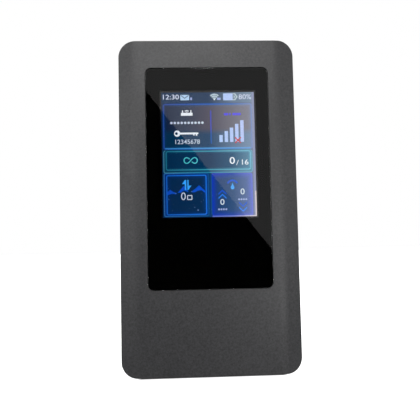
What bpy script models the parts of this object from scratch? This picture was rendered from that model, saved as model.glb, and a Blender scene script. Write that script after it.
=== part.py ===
"""A pocket mobile hotspot, standing on its lower end with its screen facing -Y.

Front shell, display stack, circuit board, chassis, battery and snap-off rear cover are
separate pieces, stacked along Y. The origin is on the resting face, under the middle of
the body. Sizes are in metres.
"""

import math

import bmesh
import bpy
from mathutils import Matrix, Vector

# Body
WIDTH = 0.0690
HEIGHT = 0.1300
FRONT_Y = -0.00875
REAR_Y = 0.00875
CORNER_RADIUS = 0.0061
RIM_ROUND = 0.0006
REAR_ROUND = 0.0030
SEAM_Y = 0.0009
GAP = 0.0003

# The face is flat in the middle and falls away along both long sides
FLAT_HALF = 0.0260
CREASE_HALF = 0.0300
FLANK_ANGLE = math.radians(12)

# Walls
WALL = 0.0018
FRONT_SKIN = 0.0019
COVER_WALL = 0.0016

# Display, placed from the middle of the lens and of the lit area
LENS_SIZE = (0.0481, 0.0864)
LENS_Z = 0.0759
LENS_RADIUS = 0.0024
LENS_THICK = 0.0010
LENS_SINK = 0.0001
LEDGE = 0.0005
LIT_SIZE = (0.03672, 0.04896)
LIT_X = 0.0003
LIT_Z = 0.0850
PANEL_SIZE = (0.0421, 0.0592)
PANEL_Z = 0.0821
PANEL_THICK = 0.00075

# Circuit board
BOARD_LOW = (-0.0307, -0.0036, 0.0104)
BOARD_HIGH = (0.0307, -0.0026, 0.1246)
MOUNT_Y = BOARD_HIGH[1] + 0.0001
CAN_HEIGHT = 0.0016

# Row of side keys, card tray and reset, all on one line of the side walls
ROW_Y = -0.0018
KEY_LENGTH = 0.0134
KEY_PROUD = 0.00025
POWER_KEY_Z = 0.0909
MENU_KEY_Z = 0.0709
TRAY_Z = 0.0960
TRAY_FACE = 0.0180
RESET_X = 0.0140

# Charging port in the upper end
PORT_Y = -0.0031
PORT_SIZE = (0.00894, 0.00326, 0.00735)
PORT_SINK = 0.0008

# Chassis and battery
CHASSIS_SIZE = (0.0648, 0.1258)
CHASSIS_WALL = 0.0012
CHASSIS_REAR = 0.0066
PLATE_HALF = 0.0005
BATTERY_LOW = (-0.0285, 0.0009, 0.0112)
BATTERY_HIGH = (0.0285, 0.0065, 0.0990)

# Screws: chassis screws reach the long posts, board screws the short ones
CHASSIS_SCREWS = ((-0.0260, 0.0066), (0.0260, 0.0066), (-0.0275, 0.1200), (0.0275, 0.1200))
BOARD_SCREWS = ((-0.0275, 0.0500), (0.0275, 0.0500))
POST_RADIUS = 0.0026
SHANK_RADIUS = 0.0008
HEAD_RADIUS = 0.0017


def clear_scene():
    for obj in list(bpy.data.objects):
        bpy.data.objects.remove(obj, do_unlink=True)


def collection(name):
    made = bpy.data.collections.new(name)
    bpy.context.scene.collection.children.link(made)
    return made


def material(name, colour, roughness, metallic=0.0):
    made = bpy.data.materials.new(name)
    made.use_nodes = True
    shader = made.node_tree.nodes["Principled BSDF"]
    shader.inputs["Base Color"].default_value = (*colour, 1.0)
    shader.inputs["Roughness"].default_value = roughness
    shader.inputs["Metallic"].default_value = metallic
    return made


clear_scene()
PARTS = collection("mobile_hotspot")
CUTTERS = collection("cutters")

SHELL = material("shell_plastic", (0.045, 0.045, 0.048), 0.55)
COVER = material("cover_plastic", (0.040, 0.040, 0.043), 0.58)
KEY = material("key_plastic", (0.050, 0.050, 0.054), 0.45)
CHASSIS = material("chassis_plastic", (0.020, 0.020, 0.022), 0.60)
LENS = material("lens_glass", (0.010, 0.010, 0.012), 0.05)
TAPE = material("tape", (0.015, 0.015, 0.015), 0.80)
PANEL = material("display_panel", (0.010, 0.020, 0.080), 0.20)
TRAY = material("display_tray", (0.600, 0.600, 0.580), 0.40)
FLEX = material("flex_film", (0.450, 0.200, 0.040), 0.40)
BOARD = material("circuit_board", (0.010, 0.110, 0.050), 0.45)
METAL = material("plated_metal", (0.620, 0.620, 0.600), 0.30, 1.0)
BLACK = material("black_plastic", (0.015, 0.015, 0.015), 0.50)
STEEL = material("screw_steel", (0.450, 0.450, 0.460), 0.35, 1.0)
CELL = material("battery_wrap", (0.070, 0.090, 0.120), 0.45)
COPPER = material("antenna_copper", (0.640, 0.300, 0.150), 0.35, 1.0)
CARD = material("card_plastic", (0.750, 0.740, 0.700), 0.45)
RED = material("wire_red", (0.550, 0.020, 0.020), 0.45)
WIRE_BLACK = material("wire_black", (0.012, 0.012, 0.012), 0.45)
YELLOW = material("wire_yellow", (0.650, 0.450, 0.030), 0.45)


def add_object(name, data, look):
    """A part when it has a look, and a cutter when it has none."""
    obj = bpy.data.objects.new(name, data)
    if look is None:
        CUTTERS.objects.link(obj)
        obj.hide_render = True
        obj.display_type = "WIRE"
    else:
        PARTS.objects.link(obj)
        data.materials.clear()
        data.materials.append(look)
    return obj


def mesh_from(bm, name):
    mesh = bpy.data.meshes.new(name)
    bm.to_mesh(mesh)
    bm.free()
    return mesh


def block(name, low, high, look=None, radius=0.0, along="Y", segments=6):
    """A box between two corners, with the edges along one axis rounded."""
    size = Vector(high) - Vector(low)
    bm = bmesh.new()
    bmesh.ops.create_cube(bm, size=1.0)
    bmesh.ops.scale(bm, vec=size, verts=bm.verts)
    if radius:
        axis = "XYZ".index(along)
        edges = [e for e in bm.edges if (e.verts[0].co - e.verts[1].co)[axis]]
        bmesh.ops.bevel(bm, geom=edges, offset=radius, segments=segments, profile=0.5, affect="EDGES")
    obj = add_object(name, mesh_from(bm, name), look)
    obj.location = (Vector(low) + Vector(high)) / 2
    return obj


def centred(name, size, y_low, y_high, z, look=None, x=0.0, radius=0.0, segments=6):
    """A flat piece facing -Y: width and height about a point, between two depths."""
    low = (x - size[0] / 2, y_low, z - size[1] / 2)
    high = (x + size[0] / 2, y_high, z + size[1] / 2)
    return block(name, low, high, look, radius, "Y", segments)


def rod(name, radius, low, high, look=None, segments=20):
    """A cylinder between two points on one axis."""
    start = Vector(low)
    run = Vector(high) - start
    bm = bmesh.new()
    bmesh.ops.create_cone(
        bm, cap_ends=True, segments=segments, radius1=radius, radius2=radius, depth=run.length
    )
    turn = run.to_track_quat("Z", "Y").to_matrix().to_4x4()
    bmesh.ops.transform(bm, matrix=turn, verts=bm.verts)
    obj = add_object(name, mesh_from(bm, name), look)
    obj.location = start + run / 2
    return obj


def boolean(target, other, operation):
    modifier = target.modifiers.new(f"{operation.lower()}_{other.name}", "BOOLEAN")
    modifier.operation = operation
    modifier.solver = "EXACT"
    modifier.object = other


def cut(target, *cutters):
    for cutter in cutters:
        boolean(target, cutter, "DIFFERENCE")


def join(target, *pieces):
    for piece in pieces:
        boolean(target, piece, "UNION")


def round_rim(obj, width, segments):
    """Rounds every edge sharper than 40 degrees."""
    modifier = obj.modifiers.new("round", "BEVEL")
    modifier.width = width
    modifier.segments = segments
    modifier.limit_method = "ANGLE"
    modifier.angle_limit = math.radians(40)


def evaluated_mesh(obj):
    graph = bpy.context.evaluated_depsgraph_get()
    return bpy.data.meshes.new_from_object(obj.evaluated_get(graph))


def prism(name, outline, length, centre_z):
    """A closed outline in X and Y, run along Z and made a mesh, so that it can cut."""
    curve = bpy.data.curves.new(name, "CURVE")
    curve.dimensions = "2D"
    curve.fill_mode = "BOTH"
    curve.extrude = length / 2
    spline = curve.splines.new("POLY")
    spline.points.add(len(outline) - 1)
    for point, (x, y) in zip(spline.points, outline):
        point.co = (x, y, 0.0, 1.0)
    spline.use_cyclic_u = True
    guide = bpy.data.objects.new(f"{name}_curve", curve)
    CUTTERS.objects.link(guide)
    guide.location = (0.0, 0.0, centre_z)
    bpy.context.view_layer.update()
    mesh = evaluated_mesh(guide)
    bm = bmesh.new()
    bm.from_mesh(mesh)
    bmesh.ops.remove_doubles(bm, verts=bm.verts, dist=0.000001)
    bmesh.ops.recalc_face_normals(bm, faces=bm.faces)
    bm.to_mesh(mesh)
    bm.free()
    solid = add_object(name, mesh, None)
    solid.matrix_world = guide.matrix_world
    bpy.data.objects.remove(guide, do_unlink=True)
    return solid


def face_y(x):
    """Depth of the front face at a distance from the middle."""
    x = abs(x)
    if x <= FLAT_HALF:
        return FRONT_Y
    bend = (CREASE_HALF - FLAT_HALF) / math.sin(FLANK_ANGLE)
    if x <= CREASE_HALF:
        return FRONT_Y + bend - math.sqrt(bend**2 - (x - FLAT_HALF) ** 2)
    drop = bend * (1 - math.cos(FLANK_ANGLE))
    return FRONT_Y + drop + (x - CREASE_HALF) * math.tan(FLANK_ANGLE)


def face_prism():
    """Everything behind the crowned front face."""
    steps = 5
    half = [0.0400, CREASE_HALF]
    half += [CREASE_HALF + (FLAT_HALF - CREASE_HALF) * i / steps for i in range(1, steps + 1)]
    across = half + [-x for x in reversed(half)]
    outline = [(x, face_y(x)) for x in across]
    outline += [(-0.0400, 0.0100), (0.0400, 0.0100)]
    return prism("face_guide", outline, HEIGHT + 0.0200, HEIGHT / 2)


def key_slot(name, side, z, length, height):
    """A slot through a side wall for a key or the card tray."""
    low = (side * (WIDTH / 2 + 0.001), ROW_Y - height / 2, z - length / 2)
    high = (side * (WIDTH / 2 - WALL - 0.001), ROW_Y + height / 2, z + length / 2)
    corners = [tuple(f(a, b) for a, b in zip(low, high)) for f in (min, max)]
    return block(name, *corners, None, 0.0006, "X", 3)


def make_front_shell():
    shell = centred(
        "front_shell", (WIDTH, HEIGHT), FRONT_Y - 0.001, 0.0040, HEIGHT / 2, SHELL,
        radius=CORNER_RADIUS, segments=9,
    )
    boolean(shell, face_prism(), "INTERSECT")
    round_rim(shell, RIM_ROUND, 2)
    inner = (WIDTH - 2 * WALL, HEIGHT - 2 * WALL)
    lens_seat = (LENS_SIZE[0] + 0.0005, LENS_SIZE[1] + 0.0005)
    seat_y = FRONT_Y + FRONT_SKIN - LEDGE
    window = (LIT_SIZE[0] + 0.0028, LIT_SIZE[1] + 0.0030)
    cut(
        shell,
        centred("shell_trim", (0.09, 0.15), SEAM_Y, 0.0060, HEIGHT / 2),
        centred("shell_hollow", inner, FRONT_Y + FRONT_SKIN, 0.0050, HEIGHT / 2,
                radius=CORNER_RADIUS - WALL),
        centred("lens_seat", lens_seat, FRONT_Y - 0.002, seat_y, LENS_Z,
                radius=LENS_RADIUS + 0.0002, segments=5),
        centred("display_window", window, FRONT_Y - 0.001, -0.0060, LIT_Z, x=LIT_X),
    )
    for i, (x, z) in enumerate(CHASSIS_SCREWS, 1):
        add_post(shell, f"long_post_{i}", x, z, -PLATE_HALF - 0.0003)
    for i, (x, z) in enumerate(BOARD_SCREWS, 1):
        add_post(shell, f"short_post_{i}", x, z, BOARD_LOW[1] - 0.0002)
    slot_length = KEY_LENGTH + 2 * GAP
    cut(
        shell,
        key_slot("power_slot", -1, POWER_KEY_Z, slot_length, 0.0030),
        key_slot("menu_slot", -1, MENU_KEY_Z, slot_length, 0.0030),
        key_slot("tray_slot", 1, TRAY_Z, TRAY_FACE + 2 * GAP, 0.0030),
        block("port_hole", (-0.0048, PORT_Y - 0.00195, HEIGHT - 0.0030),
              (0.0048, PORT_Y + 0.00195, HEIGHT + 0.0020), None, 0.0019, "Z", 6),
        rod("reset_hole", 0.0006, (RESET_X, ROW_Y, HEIGHT - 0.0030), (RESET_X, ROW_Y, HEIGHT + 0.0020)),
    )
    return shell


def add_post(shell, name, x, z, top):
    """A screw post on the back of the front skin, with its pilot hole."""
    root = FRONT_Y + FRONT_SKIN - 0.0005
    join(shell, rod(name, POST_RADIUS, (x, root, z), (x, top, z)))
    cut(shell, rod(f"{name}_hole", SHANK_RADIUS + 0.0001, (x, root + 0.0008, z), (x, top + 0.001, z),
                   segments=12))


def make_display():
    lens_y = FRONT_Y + LENS_SINK
    lens = centred("display_lens", LENS_SIZE, lens_y, lens_y + LENS_THICK, LENS_Z, LENS,
                   radius=LENS_RADIUS, segments=5)
    round_rim(lens, 0.00015, 1)
    seat_y = FRONT_Y + FRONT_SKIN - LEDGE
    tape = centred("lens_adhesive", (0.0474, 0.0857), lens_y + LENS_THICK + 0.00005, seat_y - 0.00005,
                   LENS_Z, TAPE, radius=0.0021, segments=4)
    cut(tape, centred("adhesive_hole", (0.0415, 0.0545), -0.0100, -0.0060, LIT_Z, x=LIT_X))
    front = FRONT_Y + FRONT_SKIN + 0.0001
    centred("lcd_panel", PANEL_SIZE, front, front + PANEL_THICK, PANEL_Z, PANEL, x=LIT_X)
    tray = centred("lcd_backlight_tray", (0.0437, 0.0610), front + 0.0001, -0.0044, PANEL_Z, TRAY,
                   x=LIT_X, radius=0.0006, segments=2)
    cut(tray, centred("tray_pocket", (0.0425, 0.0598), -0.0080, front + PANEL_THICK + 0.0001,
                      PANEL_Z, x=LIT_X))
    make_ribbon()


def make_ribbon():
    """The display's flex: out of the tray's lower end, round a loose bend and onto the board."""
    lead_y = -0.00565
    foot_y = -0.00390
    leave_z = PANEL_Z - 0.0610 / 2 - 0.0002
    bend = (foot_y - lead_y) / 2
    turn_z = leave_z - 0.0030
    curve = bpy.data.curves.new("lcd_flex", "CURVE")
    curve.dimensions = "2D"
    curve.extrude = 0.0080
    route = [(leave_z, lead_y)]
    for i in range(9):
        angle = math.pi * i / 8
        route.append((turn_z - bend * math.sin(angle), lead_y + bend * (1 - math.cos(angle))))
    route.append((leave_z - 0.0005, foot_y))
    spline = curve.splines.new("POLY")
    spline.points.add(len(route) - 1)
    for point, (z, y) in zip(spline.points, route):
        point.co = (y, z, 0.0, 1.0)
    obj = bpy.data.objects.new("lcd_flex", curve)
    PARTS.objects.link(obj)
    curve.materials.append(FLEX)
    # Local X is depth, local Y is height and local Z the ribbon's width
    obj.matrix_world = Matrix(((0, 0, 1, 0), (1, 0, 0, 0), (0, 1, 0, 0), (0, 0, 0, 1)))
    thicken = obj.modifiers.new("thicken", "SOLIDIFY")
    thicken.thickness = 0.00015
    thicken.offset = 0.0


def make_board():
    board = block("main_board", BOARD_LOW, BOARD_HIGH, BOARD, 0.0015, "Y", 3)
    cut(board, block("port_notch", (-0.0047, -0.0050, 0.1215), (0.0047, -0.0010, 0.1260)))
    for i, (x, z) in enumerate(CHASSIS_SCREWS[2:], 1):
        cut(board, rod(f"board_clear_{i}", POST_RADIUS + 0.0005, (x, -0.0050, z), (x, -0.0010, z)))
    for i, (x, z) in enumerate(BOARD_SCREWS, 1):
        cut(board, rod(f"board_hole_{i}", SHANK_RADIUS + 0.0003, (x, -0.0050, z), (x, -0.0010, z),
                       segments=16))
    for name, x, z, width, height in (
        ("modem_shield_can", -0.0070, 0.1000, 0.0280, 0.0260),
        ("radio_shield_can", 0.0080, 0.0660, 0.0280, 0.0240),
        ("power_shield_can", -0.0120, 0.0360, 0.0240, 0.0180),
    ):
        can = centred(name, (width, height), MOUNT_Y, MOUNT_Y + CAN_HEIGHT, z, METAL, x=x,
                      radius=0.0010, segments=2)
        hollow = (width - 0.0006, height - 0.0006)
        cut(can, centred(f"{name}_hollow", hollow, MOUNT_Y - 0.001, MOUNT_Y + CAN_HEIGHT - 0.0003, z, x=x))
    for name, x, z, size in (
        ("modem_chip", -0.0080, 0.1000, 0.0130),
        ("radio_chip", 0.0080, 0.0660, 0.0090),
        ("charger_chip", -0.0120, 0.0360, 0.0050),
    ):
        centred(name, (size, size), MOUNT_Y, MOUNT_Y + 0.0009, z, BLACK, x=x)


def make_port():
    """The charging socket: a plated sleeve, let into the board, round its contact tongue."""
    top = HEIGHT - PORT_SINK
    half_x, half_y = PORT_SIZE[0] / 2, PORT_SIZE[1] / 2
    sleeve = block("usb_port_sleeve", (-half_x, PORT_Y - half_y, top - PORT_SIZE[2]),
                   (half_x, PORT_Y + half_y, top), METAL, half_y * 0.98, "Z", 6)
    wall = 0.0003
    bore = half_y - wall
    cut(sleeve, block("port_bore", (wall - half_x, PORT_Y - bore, top - 0.0062),
                      (half_x - wall, PORT_Y + bore, top + 0.001), None, bore * 0.98, "Z", 6))
    block("usb_port_tongue", (-0.003345, PORT_Y - 0.00035, top - 0.0060),
          (0.003345, PORT_Y + 0.00035, top - 0.0012), BLACK, 0.0002, "Z", 1)


def make_card_slot():
    """The card reader on the board, and the tray that slides out of the right-hand wall."""
    low = (0.0130, MOUNT_Y, TRAY_Z - 0.0090)
    high = (0.0306, MOUNT_Y + 0.0016, TRAY_Z + 0.0090)
    reader = block("sim_reader", low, high, METAL)
    cut(reader, block("reader_mouth", (low[0] + 0.0005, ROW_Y - 0.0005, TRAY_Z - 0.0081),
                      (0.0330, ROW_Y + 0.0005, TRAY_Z + 0.0081)))
    face_low = (WIDTH / 2 - 0.0015, ROW_Y - 0.0012, TRAY_Z - TRAY_FACE / 2)
    face_high = (WIDTH / 2, ROW_Y + 0.0012, TRAY_Z + TRAY_FACE / 2)
    tray = block("sim_tray", face_low, face_high, KEY, 0.0004, "X", 3)
    blade = block("tray_blade", (0.0142, ROW_Y - 0.00035, TRAY_Z - 0.0075),
                  (WIDTH / 2 - 0.0010, ROW_Y + 0.00035, TRAY_Z + 0.0075))
    join(tray, blade)
    cut(
        tray,
        block("card_pocket", (0.0154, ROW_Y - 0.0001, TRAY_Z - 0.0063),
              (0.0281, ROW_Y + 0.0010, TRAY_Z + 0.0063)),
        rod("eject_hole", 0.00045, (WIDTH / 2 - 0.0012, ROW_Y, TRAY_Z - 0.0070),
            (WIDTH / 2 + 0.001, ROW_Y, TRAY_Z - 0.0070), segments=12),
    )
    block("sim_card", (0.0156, ROW_Y - 0.00005, TRAY_Z - 0.0061),
          (0.0279, ROW_Y + 0.00035, TRAY_Z + 0.0061), CARD, 0.0006, "Y", 2)


def make_key(name, z):
    """A key in the left-hand wall, with the flange that keeps it in and its switch behind."""
    outer = -WIDTH / 2 - KEY_PROUD
    key = block(name, (outer, ROW_Y - 0.0012, z - KEY_LENGTH / 2),
                (-0.0318, ROW_Y + 0.0012, z + KEY_LENGTH / 2), KEY, 0.0005, "X", 3)
    flange = block(f"{name}_flange", (-0.0324, ROW_Y - 0.0010, z - KEY_LENGTH / 2 - 0.0010),
                   (-0.0318, ROW_Y + 0.0010, z + KEY_LENGTH / 2 + 0.0010))
    join(key, flange)
    make_switch(name.replace("key", "switch"), Vector((-0.0305, ROW_Y, z)), Vector((-1.0, 0.0, 0.0)), 0.0011)


def make_switch(name, mouth, out, reach):
    """A tiny switch: its case, and the plunger that stands out of the case's mouth."""
    across = Vector((out.z, 0.0, out.x))
    case_corners = (mouth + across * 0.0020 - Vector((0, 0.00065, 0)),
                    mouth - across * 0.0020 + Vector((0, 0.00065, 0)) - out * 0.0020)
    case = block(f"{name}_case", *ordered(*case_corners), METAL)
    bore_corners = (mouth + across * 0.0010 - Vector((0, 0.00045, 0)) + out * 0.001,
                    mouth - across * 0.0010 + Vector((0, 0.00045, 0)) - out * 0.0012)
    cut(case, block(f"{name}_bore", *ordered(*bore_corners)))
    plunger_corners = (mouth + across * 0.0008 - Vector((0, 0.0003, 0)) + out * reach,
                       mouth - across * 0.0008 + Vector((0, 0.0003, 0)) - out * 0.0006)
    block(f"{name}_plunger", *ordered(*plunger_corners), BLACK)


def ordered(a, b):
    """Two opposite corners of a box, as its lowest and its highest."""
    return [tuple(pick(p, q) for p, q in zip(a, b)) for pick in (min, max)]


def make_chassis():
    chassis = centred("mid_chassis", CHASSIS_SIZE, -PLATE_HALF, CHASSIS_REAR, HEIGHT / 2, CHASSIS,
                      radius=0.0040, segments=5)
    bay = (CHASSIS_SIZE[0] - 2 * CHASSIS_WALL, CHASSIS_SIZE[1] - 2 * CHASSIS_WALL)
    cut(chassis, centred("chassis_bay", bay, PLATE_HALF, 0.0080, HEIGHT / 2, radius=0.0028, segments=4))
    join(chassis, block("battery_stop", (-0.0322, 0.0, 0.1042), (0.0322, 0.0050, 0.1054)))
    cut(chassis,
        block("lead_window", (0.0120, -0.0020, 0.1066), (0.0220, 0.0020, 0.1130)),
        block("lead_notch", (0.0130, 0.0010, 0.1030), (0.0210, 0.0080, 0.1066)))
    for i, (x, z) in enumerate(CHASSIS_SCREWS, 1):
        cut(chassis, rod(f"chassis_hole_{i}", SHANK_RADIUS + 0.0003, (x, -0.0020, z), (x, 0.0020, z),
                         segments=16))


def make_battery():
    cell = block("battery_cell", BATTERY_LOW, BATTERY_HIGH, CELL, 0.0022, "Z", 4)
    round_rim(cell, 0.0004, 1)
    block("battery_guard_board", (-0.0260, 0.0012, BATTERY_HIGH[2] + 0.0003),
          (0.0260, 0.0048, BATTERY_HIGH[2] + 0.0038), CHASSIS)
    centred("battery_tape", (0.0480, 0.0700), PLATE_HALF + 0.0001, BATTERY_LOW[1] - 0.0001, 0.0550, TAPE)
    centred("battery_socket", (0.0070, 0.0044), MOUNT_Y, -0.0008, 0.1100, CARD, x=0.0170)
    centred("battery_plug", (0.0064, 0.0038), -0.0006, 0.0008, 0.1100, CARD, x=0.0170)
    make_lead("battery_lead_red", 0.0150, RED)
    make_lead("battery_lead_yellow", 0.0170, YELLOW)
    make_lead("battery_lead_black", 0.0190, WIRE_BLACK)


def make_lead(name, x, look):
    """One battery lead, in a loose arch from the plug back to the guard board."""
    start = Vector((x, 0.0011, 0.1105))
    end = Vector((x, 0.0034, BATTERY_HIGH[2] + 0.0041))
    curve = bpy.data.curves.new(name, "CURVE")
    curve.dimensions = "3D"
    curve.bevel_depth = 0.0005
    curve.bevel_resolution = 2
    curve.use_fill_caps = True
    spline = curve.splines.new("POLY")
    steps = 9
    spline.points.add(steps)
    for i, point in enumerate(spline.points):
        part = i / steps
        place = start.lerp(end, part ** 1.3)
        place.y += 0.0021 * math.sin(math.pi * part) ** 0.8
        point.co = (*place, 1.0)
    add_object(name, curve, look)


def make_antennas():
    plate_y = PLATE_HALF + 0.0001
    for name, x, z, width, height in (
        ("main_antenna", 0.0, 0.0066, 0.0440, 0.0062),
        ("wifi_antenna", -0.0130, 0.1180, 0.0200, 0.0100),
        ("diversity_antenna", 0.0130, 0.1205, 0.0200, 0.0070),
    ):
        antenna = centred(name, (width, height), plate_y, plate_y + 0.0002, z, COPPER, x=x)
        for i in range(3):
            gap_x = x - width / 2 + width * (i + 1) / 4
            side = 1 if i % 2 else -1
            reach = z + side * height * 0.2
            cut(antenna, centred(f"{name}_gap_{i}", (0.0012, height), -0.001, 0.002, reach, x=gap_x))


def make_rear_cover():
    cover = centred("rear_cover", (WIDTH, HEIGHT), -0.0040, REAR_Y, HEIGHT / 2, COVER,
                    radius=CORNER_RADIUS, segments=9)
    round_rim(cover, REAR_ROUND, 5)
    inner = (WIDTH - 2 * COVER_WALL, HEIGHT - 2 * COVER_WALL)
    hollow = centred("cover_hollow", inner, -0.0070, REAR_Y - COVER_WALL, HEIGHT / 2,
                     radius=CORNER_RADIUS - COVER_WALL)
    round_rim(hollow, REAR_ROUND - COVER_WALL, 3)
    cut(cover, centred("cover_trim", (0.09, 0.15), -0.0060, SEAM_Y + GAP, HEIGHT / 2), hollow)
    for side, name in ((-1, "left"), (1, "right")):
        for i, z in enumerate((0.0250, 0.0650, 0.1120)):
            x = side * 0.0302
            join(cover, block(f"cover_tab_{name}_{i}", (x - 0.0004, 0.0040, z - 0.0030),
                              (x + 0.0004, REAR_Y - COVER_WALL + 0.0005, z + 0.0030)))
    cut(cover, block("nail_notch", (WIDTH / 2 - 0.0008, SEAM_Y - 0.001, 0.0120),
                     (WIDTH / 2 + 0.001, SEAM_Y + GAP + 0.0008, 0.0220), None, 0.0004, "Z", 2))


def screw_mesh(length):
    """A pan-head screw pointing along -Z, its head's underside at the origin."""
    profile = [
        (0.0, 0.0009), (HEAD_RADIUS * 0.7, 0.0009), (HEAD_RADIUS, 0.0005), (HEAD_RADIUS, 0.0),
        (SHANK_RADIUS, 0.0), (SHANK_RADIUS, 0.0004 - length), (SHANK_RADIUS * 0.5, -length),
        (0.0, -length),
    ]
    bm = bmesh.new()
    verts = [bm.verts.new((x, 0.0, z)) for x, z in profile]
    for a, b in zip(verts, verts[1:]):
        bm.edges.new((a, b))
    turned = add_object("screw_blank", mesh_from(bm, "screw_blank"), None)
    spin = turned.modifiers.new("turn", "SCREW")
    spin.steps = 16
    spin.render_steps = 16
    spin.use_merge_vertices = True
    spin.merge_threshold = 0.00001
    for i, (a, b) in enumerate(((0.0010, 0.00025), (0.00025, 0.0010)), 1):
        cut(turned, block(f"recess_{i}", (-a, -b, 0.0004), (a, b, 0.0020)))
    bpy.context.view_layer.update()
    mesh = evaluated_mesh(turned)
    bpy.data.objects.remove(turned, do_unlink=True)
    return mesh


def make_screws():
    """Screws point forwards, so each is turned from -Z to -Y."""
    turn = Matrix.Rotation(math.radians(-90), 4, "X")
    chassis_mesh = screw_mesh(0.0052)
    for i, (x, z) in enumerate(CHASSIS_SCREWS, 1):
        screw = add_object(f"chassis_screw_{i}", chassis_mesh, STEEL)
        screw.matrix_world = Matrix.Translation((x, PLATE_HALF + 0.0001, z)) @ turn
    board_mesh = screw_mesh(0.0030)
    for i, (x, z) in enumerate(BOARD_SCREWS, 1):
        screw = add_object(f"board_screw_{i}", board_mesh, STEEL)
        screw.matrix_world = Matrix.Translation((x, MOUNT_Y, z)) @ turn


def shade_round():
    for obj in PARTS.objects:
        if obj.type == "MESH":
            obj.data.shade_smooth()
            obj.data.set_sharp_from_angle(angle=math.radians(30))


make_front_shell()
make_display()
make_board()
make_port()
make_card_slot()
make_key("power_key", POWER_KEY_Z)
make_key("menu_key", MENU_KEY_Z)
make_switch("reset_switch", Vector((RESET_X, ROW_Y, 0.1240)), Vector((0.0, 0.0, 1.0)), 0.0030)
make_chassis()
make_battery()
make_antennas()
make_rear_cover()
make_screws()
shade_round()
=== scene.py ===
"""Looks of the pocket mobile hotspot: shells, lens, lit display, port, keys and the parts inside."""

import math

import bmesh
import bpy
from mathutils import Matrix, Vector


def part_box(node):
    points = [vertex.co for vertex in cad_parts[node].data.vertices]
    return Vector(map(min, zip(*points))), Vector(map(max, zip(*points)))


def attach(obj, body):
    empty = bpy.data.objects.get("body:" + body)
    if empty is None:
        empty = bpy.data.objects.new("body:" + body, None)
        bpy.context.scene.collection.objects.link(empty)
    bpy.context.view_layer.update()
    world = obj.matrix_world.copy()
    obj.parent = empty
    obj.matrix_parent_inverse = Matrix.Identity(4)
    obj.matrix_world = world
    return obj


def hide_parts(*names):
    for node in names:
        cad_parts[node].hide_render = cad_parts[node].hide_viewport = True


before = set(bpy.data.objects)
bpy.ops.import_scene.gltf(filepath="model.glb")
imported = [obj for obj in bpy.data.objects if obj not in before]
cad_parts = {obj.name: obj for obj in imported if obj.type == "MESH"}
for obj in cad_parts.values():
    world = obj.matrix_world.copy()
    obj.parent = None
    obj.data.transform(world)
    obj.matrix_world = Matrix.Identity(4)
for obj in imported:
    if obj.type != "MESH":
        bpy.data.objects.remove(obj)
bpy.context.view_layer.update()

MM = 0.001
BODY = "hotspot_body"

# ---------------------------------------------------------------- sizes, from the frame

SHELL_LOW, SHELL_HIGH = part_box("front_shell")
COVER_LOW, COVER_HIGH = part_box("rear_cover")
LENS_LOW, LENS_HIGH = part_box("display_lens")
PANEL_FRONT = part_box("lcd_panel")[0].y
HALF_WIDTH = SHELL_HIGH.x
HEIGHT = SHELL_HIGH.z
MIDDLE_Z = HEIGHT / 2
FRONT_Y = SHELL_LOW.y
SEAM_Y = 0.9 * MM
CORNER = 6.1 * MM
RIM_ROUND = 0.6 * MM
REAR_ROUND = 3.0 * MM
WALL = 1.8 * MM
COVER_WALL = 1.6 * MM
SKIN_Y = FRONT_Y + 1.9 * MM
# A trimming cutter's width and height, larger than the body's
TRIM_SIZE = (0.09, 0.15)

# Lens and the lit part of the display: the seat's spare width, its flare at the face, and the
# window behind it, which is larger than the lit part
LENS_CORNER = 2.4 * MM
SEAT_Y = FRONT_Y + 1.4 * MM
SEAT_SPARE = 0.14 * MM
SEAT_FLARE = 0.24 * MM
SEAT_FLARE_DEPTH = 0.12 * MM
LIT_SIZE = (36.5 * MM, 49.2 * MM)
LIT_MIDDLE = (0.3 * MM, 85.1 * MM)
WINDOW_SPARE = (2.8 * MM, 3.0 * MM)
INK_SPARE = 1.2 * MM

# The keys, the card tray and the reset pinhole share one line along the walls
ROW_Y = -1.8 * MM
KEY_HALF = 6.7 * MM
KEY_HALF_DEPTH = 1.2 * MM
TRAY_HALF = 9.0 * MM
SLOT_HALF_DEPTH = 1.5 * MM
SLOT_SPARE = 0.3 * MM
RESET_X = 14 * MM
RESET_RADIUS = 0.6 * MM

# Charging port: the opening in the wall, then the contacts inside
PORT_Y = -3.1 * MM
PORT_HALF = (4.8 * MM, 1.95 * MM)
PORT_ROUND = 1.9 * MM
PORT_WALL = 0.3 * MM
PORT_DEPTH = 6.2 * MM
CONTACTS = 12
CONTACT_PITCH = 0.5 * MM

# Rear cover: catch tabs on both sides and a notch for prising it off
TAB_X = 30.2 * MM
TAB_Z = (25 * MM, 65 * MM, 112 * MM)
TAB_HALF = (0.4 * MM, 3 * MM)
NOTCH_Z = (12 * MM, 22 * MM)
NOTCH_DEPTH = 0.8 * MM

# The battery's label, and the plain rule printed on it
LABEL_SIZE = (44 * MM, 60 * MM)
RULE_HALF = (20 * MM, 28 * MM)
RULE_WIDTH = 0.4 * MM

# The face: flat in the middle, a soft crease, then a straight fall to the side walls
FLAT_HALF = 26.0 * MM
CREASE_HALF = 30.0 * MM
FLANK_ANGLE = math.radians(12)

# The display's layout is 240 units wide and 320 high, counted from its upper left corner
UNIT = LIT_SIZE[0] / 240
LAYER = 0.03 * MM
LIT_LEFT = LIT_MIDDLE[0] - LIT_SIZE[0] / 2
LIT_TOP = LIT_MIDDLE[1] + LIT_SIZE[1] / 2
DISPLAY_IOR = 1.05
NETWORK_BOX = (4, 29, 233.5, 147)
LINK_BOX = (9.6, 151.5, 227.6, 200)
TRAFFIC_BOX = (9, 211, 112, 315)
SPEED_BOX = (126, 209, 231, 318)

# ---------------------------------------------------------------- camera and light values

CAMERA_PLACE = Vector((-9.4 * MM, -220.15 * MM, 48.65 * MM))
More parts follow.
